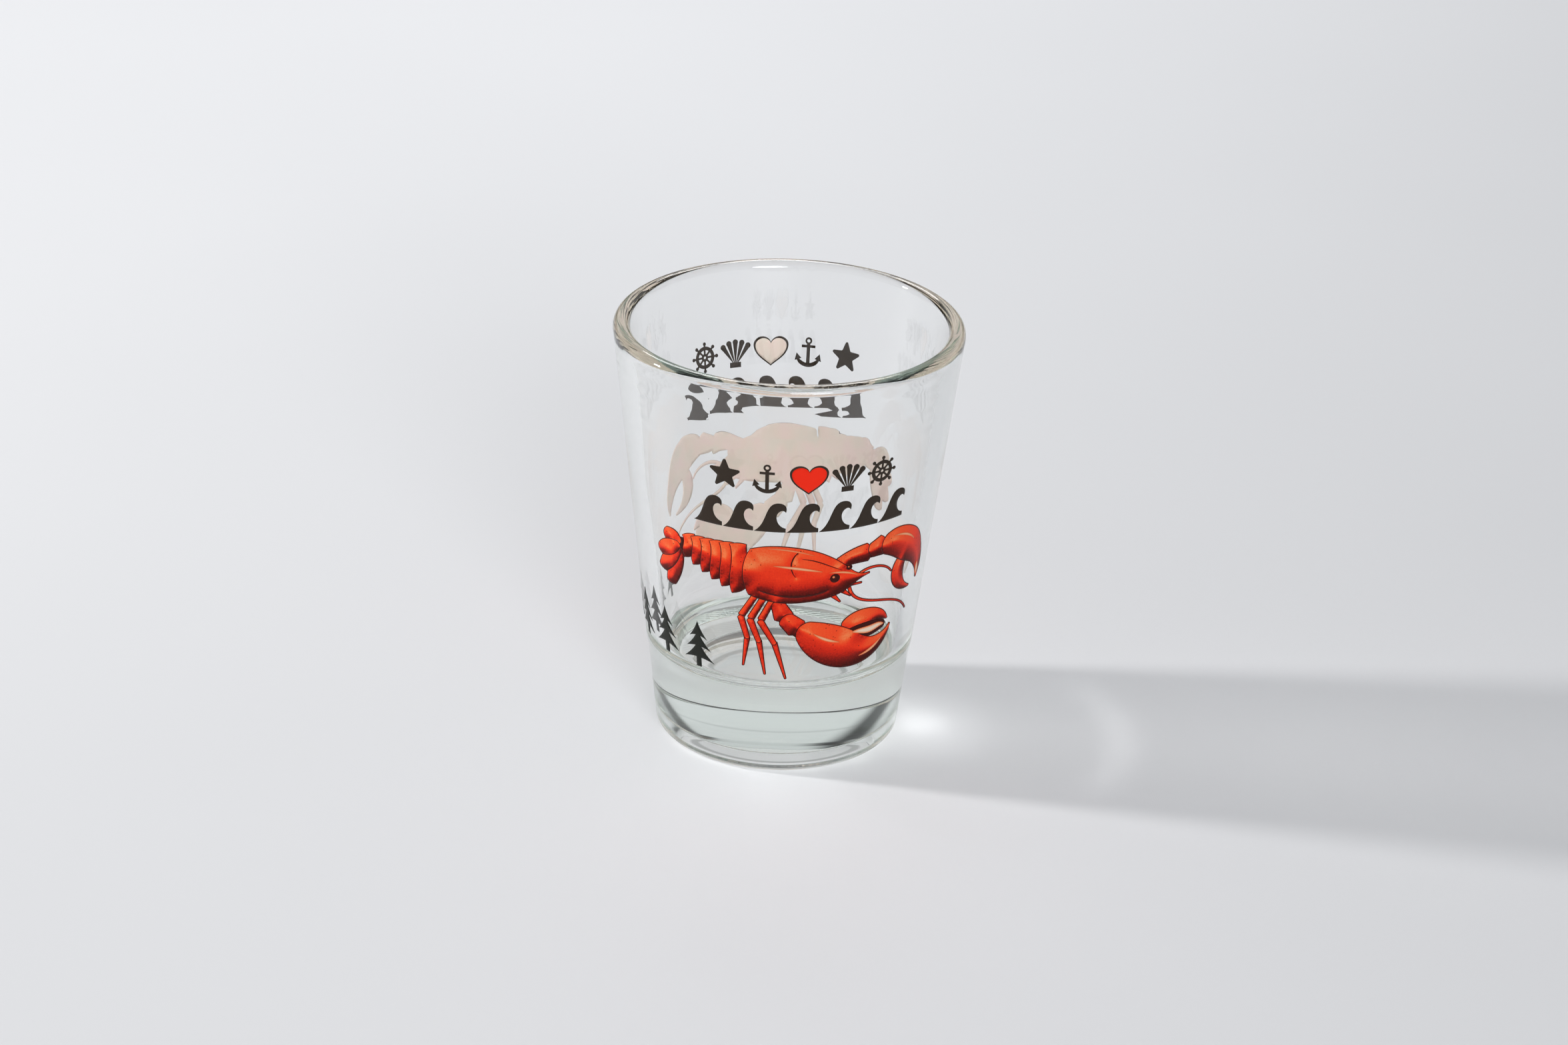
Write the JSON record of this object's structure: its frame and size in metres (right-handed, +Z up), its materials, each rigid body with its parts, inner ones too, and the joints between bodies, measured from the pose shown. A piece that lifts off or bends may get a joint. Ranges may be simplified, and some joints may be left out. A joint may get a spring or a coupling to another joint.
{
  "type": "shot glass",
  "caption": "Tapered souvenir shot glass with a heavy clear base, rounded lip and fired enamel print of a red lobster, a heart, small nautical marks, a wave row and fir trees.",
  "frame": {"origin": "centre of the foot on the table surface, the middle of the box's underside", "axes": "+Z up along the glass's axis; the front print faces -Y, the back print faces +Y, and the fir trees are on the -X side"},
  "size_m": [0.0474, 0.0474, 0.06],
  "materials": {
    "clear_glass": "fire-polished clear soda-lime glass, faint grey-green in thick sections",
    "white_ink": "fired enamel underbase, satin",
    "red_ink": "fired enamel ink, shaded red to orange, semi-gloss",
    "dark_line_ink": "fired enamel ink, dark maroon, semi-gloss",
    "pale_ink": "fired enamel ink, pale salmon to cream, semi-gloss",
    "black_ink": "fired enamel ink, black, satin"
  },
  "bodies": {
    "root": {"back_anchor_mark": "black_ink", "back_heart_border": "black_ink", "back_heart_red_ink": "red_ink", "back_heart_white_base": "white_ink", "back_helm_wheel_mark": "black_ink", "back_lobster_dark_ink": "dark_line_ink", "back_lobster_pale_ink": "pale_ink", "back_lobster_red_ink": "red_ink", "back_lobster_white_base": "white_ink", "back_scallop_mark": "black_ink", "back_starfish_mark": "black_ink", "back_wave_row": "black_ink", "front_anchor_mark": "black_ink", "front_heart_border": "black_ink", "front_heart_red_ink": "red_ink", "front_heart_white_base": "white_ink", "front_helm_wheel_mark": "black_ink", "front_lobster_dark_ink": "dark_line_ink", "front_lobster_pale_ink": "pale_ink", "front_lobster_red_ink": "red_ink", "front_lobster_white_base": "white_ink", "front_scallop_mark": "black_ink", "front_starfish_mark": "black_ink", "front_wave_row": "black_ink", "glass_body": "clear_glass", "side_fir_trees": "black_ink"}
  },
  "joints": []
}
